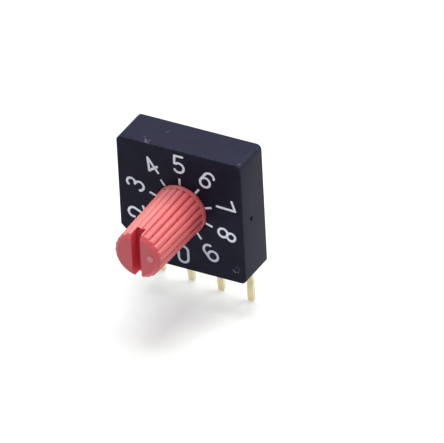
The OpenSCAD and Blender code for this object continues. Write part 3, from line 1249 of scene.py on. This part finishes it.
@dataclass
class Rotor(Assembly):
    """The rotor: ribbed knob, collar and shaft, and inside the case the hub and pivot."""

    body: Body = field(default=Body.ROTOR, kw_only=True)
    crest_r: float = 1.96
    draft: float = 0.11
    ribs: int = 22
    rib_steps: int = 16
    rib_r: float = 0.28
    bevel: float = 0.32
    collar_r: float = 2.0
    collar_len: float = 0.3
    hub_r: float = 3.1
    hub_t: float = 1.1
    pocket_depth: float = 0.7
    hub_gap: float = 0.05
    soft: float = 0.04
    bevel_steps: int = 14
    blend: float = 0.012
    pivot_r: float = 0.36
    brush_t: float = 0.1
    slot_w: float = 0.7
    slot_depth: float = 1.0
    slot_edge: float = 0.035
    gate_r: float = 0.27
    gate_at: Point = (1.15, 0.15)
    ball_hole_r: float = 0.42
    peg_r: float = 0.2
    peg_reach: float = 2.11
    peg_turn: float = 40.0
    peg_head: float = 0.05

    @property
    def hub_low(self) -> float:
        """The level of the hub's rear face."""
        return self.levels.front - self.pocket_depth - self.hub_gap - self.hub_t

    def profile(self) -> list[Point]:
        """Draw half the rotor's section as radius and level, from the pivot's end forwards.

        Returns:
            The section's points. Each has its own ring of the rotor.
        """
        lv = self.levels
        hub_high = self.hub_low + self.hub_t
        rib_low = lv.front + self.collar_len
        bevel_low = lv.knob_end - self.bevel
        end_r = self.crest_r - self.draft - self.bevel
        soft = self.soft
        points: list[Point] = [(0.0, lv.pivot_end), (self.pivot_r - soft, lv.pivot_end),
                               (self.pivot_r, lv.pivot_end + soft), (self.pivot_r, self.hub_low)]
        points += [(self.hub_r - soft, self.hub_low), (self.hub_r, self.hub_low + soft),
                   (self.hub_r, hub_high - soft), (self.hub_r - soft, hub_high)]
        points += [(self.collar_r, hub_high), (self.collar_r, lv.front),
                   (self.collar_r, rib_low - soft)]
        points += arc((self.collar_r - soft, rib_low - soft), soft, 15, 90, 5)
        points += [(self.crest_r, rib_low + 0.002 + (bevel_low - rib_low - 0.1) * k / 10)
                   for k in range(11)]
        bevel = [self.bevel * (k / self.bevel_steps) - soft for k in range(self.bevel_steps + 1)]
        points += [(self.crest_r - self.draft - max(0.0, t), bevel_low + t) for t in bevel]
        points += arc((end_r - soft * 0.41, lv.knob_end - soft), soft, 45, 90, 4)
        points += [(end_r * share, lv.knob_end) for share in (0.9, 0.6, 0.3, 0.0)]
        return points

    def build(self, finish: Finish) -> None:
        """Build the rotor.

        Args:
            finish: Its finish.
        """
        lv = self.levels
        blank = finish_mesh(self._ribbed(self.profile(), finish))
        edge = self.soft / 2
        gate = [(self.gate_r, lv.knob_end - 0.1), (self.gate_r, lv.gate_end - edge),
                (self.gate_r - edge, lv.gate_end)]
        gate_mark = loft("gate", [level_ring(r, level, self.gate_at, 64) for r, level in gate])
        hole = rod("ball_hole", self.ball_hole_r, -self.hub_r - PAST, self.hub_r + PAST,
                   axis=Axis.X)
        hole.transform(Matrix.Translation((0.0, 0.0, self.hub_low + self.hub_t / 2)))
        mesh = carve(blank, [gate_mark, *self._pegs()], Cut.ADD)
        mesh = carve(mesh, [self._slot(), hole])
        mesh.transform(Matrix.Translation((0.0, lv.axis_rise, 0.0)))
        self.put("rotor_body", finish_mesh(mesh, 32.0), finish, "red_plastic", "rotor")

    def _slot(self) -> Mesh:
        """Make the slot's tool, flared a little where it leaves the end face.

        Returns:
            A closed mesh.
        """
        end = self.levels.knob_end
        reach = self.crest_r + PAST
        half = self.slot_w / 2
        steps = ((half, end - self.slot_depth), (half, end - self.slot_edge),
                 (half + self.slot_edge, end), (half + self.slot_edge, end + PAST))
        return loft("slot", [at_level(rectangle((-w, -reach), (w, reach)), level)
                             for w, level in steps])

    def _pegs(self) -> list[Mesh]:
        """Make the two pegs with spread heads that hold the brush.

        Returns:
            Two closed meshes for each peg.
        """
        pegs = []
        for turn in (-self.peg_turn, self.peg_turn):
            angle = math.radians(turn - 90.0)
            centre = (self.peg_reach * math.cos(angle), self.peg_reach * math.sin(angle))
            low = self.hub_low - self.brush_t
            pegs.append(rod("peg", self.peg_r, low - 0.01, self.hub_low + 0.1, centre, sides=48))
            pegs.append(rod("head", self.peg_r * 1.5, low - self.peg_head, low, centre, sides=48))
        return pegs

    def _ribbed(self, profile: Sequence[Point], finish: Finish) -> Mesh:
        """Turn the section round the shaft and press the ribs into the knob.

        Args:
            profile: The section, as radius and level.
            finish: The rotor's finish.

        Returns:
            The turned blank with its ribs.
        """
        lv = self.levels
        around = self.ribs * self.rib_steps
        sizes = {
            "Ribs": self.ribs,
            "Steps": self.rib_steps,
            "Around": around + 1,
            "Rings": len(profile),
            "Crest radius": self.crest_r,
            "Rib radius": self.rib_r,
            "Draft": self.draft,
            "Rib start": lv.front + self.collar_len,
            "Rib end": lv.knob_end,
            "Softness": self.blend,
        }
        recipe = Recipe("ribbed rotor", sizes)
        size = recipe.size
        grid = recipe.add("GeometryNodeMeshGrid", {}, {
            "Vertices X": size("Rings"), "Vertices Y": size("Around")})
        index = recipe.read("GeometryNodeInputIndex", {}, {})
        ring = (index / size("Around")).apply("FLOOR")
        spoke = index % size("Around")
        here = recipe.read("GeometryNodeInputPosition", {}, {})
        section = recipe.read("GeometryNodeSampleIndex", {"data_type": "FLOAT_VECTOR"}, {
            "Geometry": recipe.inputs.outputs["Geometry"], "Value": here, "Index": ring})
        limit, level, _ = section.parts()
        pitch = 2.0 * math.pi / size("Ribs")
        angle = spoke * pitch / size("Steps") + math.pi / 2
        off = ((spoke % size("Steps")) / size("Steps") - 0.5) * pitch
        along = (level - size("Rib start")) / (size("Rib end") - size("Rib start"))
        foot = size("Crest radius") - size("Rib radius") - size("Draft") * along
        across = foot * off.apply("SINE")
        swell = size("Rib radius") * size("Rib radius") - across * across
        ribbed = foot * off.apply("COSINE") + swell.apply("MAXIMUM", 0.0) ** 0.5
        cut = ribbed.apply("SMOOTH_MIN", limit, size("Softness"))
        on_knob = level > size("Rib start")
        radius = limit + on_knob * (cut - limit)
        place = recipe.join(radius * angle.apply("COSINE"), radius * angle.apply("SINE"), level)
        moved = recipe.add("GeometryNodeSetPosition", {}, {
            "Geometry": grid.outputs[0], "Position": place})
        recipe.close(moved.outputs[0], finish)
        points = [(radius, level, 0.0) for radius, level in profile]
        return recipe.run(new_mesh("section", points, []))


def arc(centre: Point, radius: float, start: float, end: float, steps: int) -> list[Point]:
    """Give points along an arc between two angles in degrees."""
    angles = [math.radians(start + (end - start) * k / steps) for k in range(steps + 1)]
    return [(centre[0] + radius * math.cos(a), centre[1] + radius * math.sin(a)) for a in angles]


@dataclass
class Detent(Assembly):
    """The spring and balls in the hub's cross hole, and the ring seal round the shaft."""

    body: Body = field(default=Body.ROTOR, kw_only=True)
    ball_r: float = 0.4
    coil_r: float = 0.27
    wire_r: float = 0.05
    coils: int = 12
    coil_steps: int = 32
    seal_r: float = 2.19
    cord_r: float = 0.17

    def build(self, spring: Finish, ball: Finish, rubber: Finish) -> None:
        """Build the spring, the balls and the seal.

        Args:
            spring: The spring's finish.
            ball: The balls' finish.
            rubber: The seal's finish.
        """
        lv = self.levels
        for side in ("left", "right"):
            node = f"detent_ball_{side}"
            self.put(f"steel_ball_{side}", self._ball(node), ball, "ball_steel", node)
        self.put("coil_spring", self._coil(spring), spring, "spring_steel", "detent_spring")
        low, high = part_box("shaft_seal")
        level = -(low.y + high.y) / 2 / MM
        rings = []
        for a in turns(96):
            out = Vector((math.cos(a), math.sin(a), 0.0))
            rings.append([
                tuple(out * (self.seal_r + self.cord_r * math.cos(b))
                      + Vector((0.0, lv.axis_rise, level + self.cord_r * math.sin(b))))
                for b in turns(24)
            ])
        ring = loft("seal_ring", rings, looped=True)
        self.put("seal_ring", ring, rubber, "seal_rubber", "shaft_seal")

    def _ball(self, node: str) -> Mesh:
        """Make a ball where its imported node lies.

        Args:
            node: The node's name.

        Returns:
            A closed mesh.
        """
        low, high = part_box(node)
        middle = self.levels.stand.inverted() @ ((low + high) / 2)
        work = bmesh.new()
        bmesh.ops.create_icosphere(work, subdivisions=5, radius=self.ball_r)
        bmesh.ops.translate(work, vec=middle, verts=work.verts)
        mesh = bpy.data.meshes.new(node)
        work.to_mesh(mesh)
        work.free()
        return finish_mesh(mesh)

    def _coil(self, finish: Finish) -> Mesh:
        """Wind the spring's wire along the cross hole.

        Args:
            finish: The spring's finish.

        Returns:
            The coil.
        """
        low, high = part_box("detent_spring")
        middle = self.levels.stand.inverted() @ ((low + high) / 2)
        length = (high.x - low.x) / MM - 2 * self.wire_r
        sizes = {"Coils": self.coils, "Steps": self.coil_steps, "Radius": self.coil_r,
                 "Wire": self.wire_r, "Length": length}
        recipe = Recipe("detent spring", sizes)
        size = recipe.size
        path = recipe.add("GeometryNodeCurveSpiral", {}, {
            "Resolution": size("Steps"), "Rotations": size("Coils"),
            "Start Radius": size("Radius"), "End Radius": size("Radius"),
            "Height": size("Length")})
        wire = recipe.add("GeometryNodeCurvePrimitiveCircle", {}, {
            "Resolution": 14, "Radius": size("Wire")})
        swept = recipe.add("GeometryNodeCurveToMesh", {}, {
            "Curve": path.outputs[0], "Profile Curve": wire.outputs[0], "Fill Caps": True})
        centred = recipe.join(0.0, 0.0, size("Length") * -0.5)
        low_end = recipe.add("GeometryNodeTransform", {}, {
            "Geometry": swept.outputs[0], "Translation": centred})
        recipe.close(low_end.outputs[0], finish)
        mesh = recipe.run(new_mesh("start", [], []))
        mesh.transform(Matrix.Translation(middle) @ Matrix.Rotation(math.pi / 2, 4, "Y"))
        return finish_mesh(mesh, 60.0)


@dataclass
class Contacts(Assembly):
    """The base, the terminals with their pins, and the brush on the hub."""

    edge: float = 0.022
    sharp_deg: float = 50.0
    terminals: tuple[str, ...] = (
        "terminal_8", "terminal_2", "terminal_1", "terminal_4", "terminal_common",
    )

    def build(self, gold: Finish, base: Finish, brush: Finish) -> None:
        """Round the terminals' edges and dress the hidden pieces.

        Args:
            gold: The terminals' finish.
            base: The base's finish.
            brush: The brush's finish.
        """
        for node in self.terminals:
            mesh = finish_mesh(self._softened(node), 40.0)
            self.put(f"gold_{node}", mesh, gold, "gold_plate", node)
        self.dress_node("contact_base", base)
        self.dress_node("contact_brush", brush)

    def _softened(self, node: str) -> Mesh:
        """Copy a stamped terminal and round its sharp edges.

        Args:
            node: The terminal's node.

        Returns:
            The softened copy.
        """
        carrier = add_object("carrier", cad_copy(node, self.levels.stand))
        bevel = carrier.modifiers.new("edge", "BEVEL")
        bevel.width = self.edge
        bevel.segments = 2
        bevel.limit_method = "ANGLE"
        bevel.angle_limit = math.radians(self.sharp_deg)
        bevel.use_clamp_overlap = True
        return applied_mesh(carrier)


@dataclass
class BackSeal(Assembly):
    """The poured resin behind the base, with its creep up the walls."""

    wall_gap: float = 0.57
    plug_front: float = -1.0
    plug_lap: float = 0.1
    pin_t: float = 0.25
    swell: tuple[Point, ...] = (
        (0.3, 0.04), (0.3, 0.0), (0.2, -0.012), (0.12, -0.026), (0.06, -0.048), (0.02, -0.075),
    )
    creep: float = 0.035
    creep_reach: float = 0.28
    wave: float = 0.012
    insets: tuple[float, ...] = (0.0, 0.03, 0.07, 0.12, 0.18, 0.26, 0.36, 0.5, 0.7, 0.95, 1.25,
                                 1.6, 2.0, 2.45, 2.9, 3.3)
    shares: tuple[float, ...] = (0.8, 0.6, 0.4, 0.2)

    def build(self, case: Case, finish: Finish) -> None:
        """Build the resin.

        Args:
            case: The case whose cavity it fills.
            finish: Its finish.
        """
        lv = self.levels
        steps = [(inset, 1.0) for inset in self.insets]
        steps += [(self.insets[-1], share) for share in self.shares]
        rings = [at_level(case.outline(self.wall_gap), lv.base_back)]
        for inset, share in steps:
            climb = self.creep * math.exp(-inset / (self.creep_reach / 2))
            outline = [(x * share, y * share) for x, y in case.outline(self.wall_gap + inset)]
            rings.append([(x, y, lv.resin_back - climb + self._ripple(x, y) * min(1, inset))
                          for x, y in outline])
        pour = loft("pour", rings)
        fills = [*self._way_fills(case), self._pin_swell()]
        self.put("resin_back", finish_mesh(carve(pour, fills, Cut.ADD)), finish, "resin",
                 "back_seal")

    def _ripple(self, x: float, y: float) -> float:
        """Give the poured surface's slow waves.

        Args:
            x: The place across the back.
            y: The place up the back.

        Returns:
            The wave's height.
        """
        slow = math.sin(1.3 * x + 0.6) * math.cos(1.1 * y - 0.4)
        quick = math.sin(2.9 * x - 1.7 * y) * 0.4
        return self.wave * (slow + quick)

    def _pin_swell(self) -> Mesh:
        """Make the resin that climbs the common pin where it leaves the back.

        Returns:
            A closed mesh.
        """
        strip = [v.co for v in cad_copy("terminal_common", self.levels.stand).vertices
                 if v.co.z < self.levels.resin_back]
        low_x, high_x = min(p.x for p in strip), max(p.x for p in strip)
        high_y = max(p.y for p in strip)
        low_y = high_y - self.pin_t
        rings = []
        for reach, rise in self.swell:
            places = rectangle((low_x - reach, low_y - reach), (high_x + reach, high_y + reach))
            ring = rounded([Corner(x, y, reach) for x, y in places])
            rings.append(at_level(ring, self.levels.resin_back + rise))
        return loft("swell", rings)

    def _way_fills(self, case: Case) -> list[Mesh]:
        """Make the plugs of resin behind the terminals, in the ways through the wall.

        Args:
            case: The case that has the ways.

        Returns:
            A closed mesh for each way.
        """
        lv = self.levels
        behind = -3 * PAST
        room = case.prism(2 * (self.wall_gap - case.side_wall), behind, 0.0)
        filled = [case.prism(self.wall_gap + self.plug_lap, behind, lv.base_back),
                  case.prism(self.wall_gap, lv.base_back, 0.0)]
        half = case.way_half + case.side_wall - self.wall_gap
        plugs = [block("plug", (x - half, -lv.case_w, lv.resin_back),
                       (x + half, 0.0, self.plug_front)) for x in case.pins]
        return [carve(carve(plug, [room], Cut.KEEP), filled) for plug in plugs]


@dataclass
class Dial(Assembly):
    """The numbers and ticks on the front face."""

    def build(self, ink: Finish) -> None:
        """Dress the print in its ink."""
        self.dress_node("dial_print", ink)


# ---- Studio ----


@dataclass
class Lamp:
    """A soft square lamp that points at the switch."""

    name: str
    bearing: float
    height: float
    distance: float
    size: float
    power: float
    colour: Colour = WHITE

    def light(self, target: Vector) -> None:
        """Hang the lamp.

        Args:
            target: What it points at.
        """
        data = bpy.data.lights.new(self.name, "AREA")
        data.shape = "SQUARE"
        data.size = self.size
        data.energy = self.power
        data.color = self.colour
        lamp = add_object(self.name, data)
        away = direction(self.bearing, self.height)
        lamp.location = target + away * self.distance
        lamp.rotation_euler = away.to_track_quat("Z", "Y").to_euler()
        lamp.visible_camera = False


def direction(bearing: float, height: float) -> Vector:
    """Give the direction from the switch to a place round it.

    Args:
        bearing: Degrees to the right of straight in front.
        height: Degrees above level.

    Returns:
        The unit direction.
    """
    turn, rise = math.radians(bearing), math.radians(height)
    return Vector((math.cos(rise) * math.sin(turn), -math.cos(rise) * math.cos(turn),
                   math.sin(rise)))


@dataclass
class Studio:
    """A plain pale floor, soft light and the camera."""

    levels: Levels
    bearing: float = 30.0
    height: float = 33.6
    roll: float = 3.06
    distance: float = 0.9
    clip: Point = (0.05, 10.0)
    sensor: float = 36.0
    frame_w: float = 444.0
    frame_h: float = 443.0
    scale: float = 14.12
    face_at: Point = (181.06, 210.06)
    floor_w: float = 0.8
    sky: Colour = (0.9, 0.93, 1.0)
    sky_level: float = 0.06
    sky_glint: float = 0.7
    lamps: tuple[Lamp, ...] = (
        Lamp("overhead", 0.0, 89.0, 0.3, 0.16, 1.0),
        Lamp("right_rear", 135.0, 50.0, 0.3, 0.16, 0.6, (0.9, 1.0, 0.88)),
        Lamp("left_rear", -157.0, 55.0, 0.3, 0.16, 0.3),
    )

    def build(self) -> None:
        """Build the floor, the lamps, the world and the camera."""
        target = Vector((0.0, -self.levels.front * MM, self.levels.case_w / 2 * MM))
        self._floor()
        for lamp in self.lamps:
            lamp.light(target)
        self._world()
        self._camera(target)
        bpy.context.scene.view_settings.view_transform = "Standard"

    def _floor(self) -> None:
        """Lay the floor just under the pins."""
        half = self.floor_w / 2
        corners = at_level(rectangle((-half, -half), (half, half)), self.levels.pin_low * MM)
        mesh = new_mesh("floor", corners, [(0, 1, 2, 3)])
        mesh.materials.append(FLOOR.material())
        add_object("floor", mesh)

    def _world(self) -> None:
        """Light the scene evenly from all round, in front of a white background."""
        world = bpy.data.worlds.new("studio")
        world.use_nodes = True
        bpy.context.scene.world = world
        tree = Tree(world.node_tree)
        tree.nodes.nodes.clear()
        direct, mirrored, through = tree.shown()
        seen = (direct + mirrored * self.sky_glint + through).clamp()
        kind = "ShaderNodeBackground"
        plain = tree.read(kind, {}, {"Color": self.sky, "Strength": self.sky_level})
        white = tree.read(kind, {}, {"Color": WHITE, "Strength": 1.0})
        mixed = tree.read("ShaderNodeMixShader", {}, {0: seen, 1: plain, 2: white})
        tree.add("ShaderNodeOutputWorld", {}, {"Surface": mixed})

    def _camera(self, target: Vector) -> None:
        """Set the camera up with the dial's middle where the framing wants it.

        Args:
            target: The middle of the dial's face.
        """
        away = direction(self.bearing, self.height)
        right = Vector((math.cos(math.radians(self.bearing)),
                        math.sin(math.radians(self.bearing)), 0.0))
        up = away.cross(right)
        tip = math.radians(self.roll)
        right, up = (right * math.cos(tip) - up * math.sin(tip),
                     right * math.sin(tip) + up * math.cos(tip))
        off_x = (self.frame_w / 2 - self.face_at[0]) / self.scale * MM
        off_y = (self.face_at[1] - self.frame_h / 2) / self.scale * MM
        aim = target + right * off_x + up * off_y
        data = bpy.data.cameras.new("camera")
        data.sensor_width = self.sensor
        data.lens = self.sensor * self.distance / (self.frame_w / self.scale * MM)
        data.clip_start, data.clip_end = self.clip
        camera = add_object("camera", data)
        turn = Matrix((right, up, away)).transposed().to_4x4()
        camera.matrix_world = Matrix.Translation(aim + away * self.distance) @ turn
        bpy.context.scene.camera = camera


CASE_PLASTIC = CasePlastic("case_plastic")
KNOB_PLASTIC = KnobPlastic("knob_plastic")
INK = Ink("white_ink")
GOLD = GoldPlate("gold_plate")
BASE = PlainMoulding("base_plastic")
RESIN = PlainMoulding(
    "poured_resin", colour=(0.022, 0.02, 0.019), fleck=(0.036, 0.033, 0.029), roughness=0.38,
    grain=3.0, grain_depth=0.006, shine=0.13,
)
RUBBER = PlainMoulding("seal_rubber", colour=(0.02, 0.02, 0.02), fleck=(0.035, 0.035, 0.035))
SPRING = BareMetal("spring_steel")
BALL = BareMetal("ball_steel", colour=(0.7, 0.7, 0.7), roughness=0.12, line_depth=0.0005)
BRUSH = BareMetal("brush_metal", colour=(0.7, 0.6, 0.4), roughness=0.28)
FLOOR = FloorPaint("floor_paint")


def main() -> None:
    """Build the switch and its studio."""
    logging.basicConfig(level=logging.INFO, format="%(name)s %(message)s")
    levels = Levels.read()
    log.info("levels: %s", levels)
    case = Case(levels)
    case.build(CASE_PLASTIC)
    Dial(levels).build(INK)
    Rotor(levels).build(KNOB_PLASTIC)
    Detent(levels).build(SPRING, BALL, RUBBER)
    Contacts(levels).build(GOLD, BASE, BRUSH)
    BackSeal(levels).build(case, RESIN)
    Studio(levels).build()


if __name__ == "__main__":
    main()
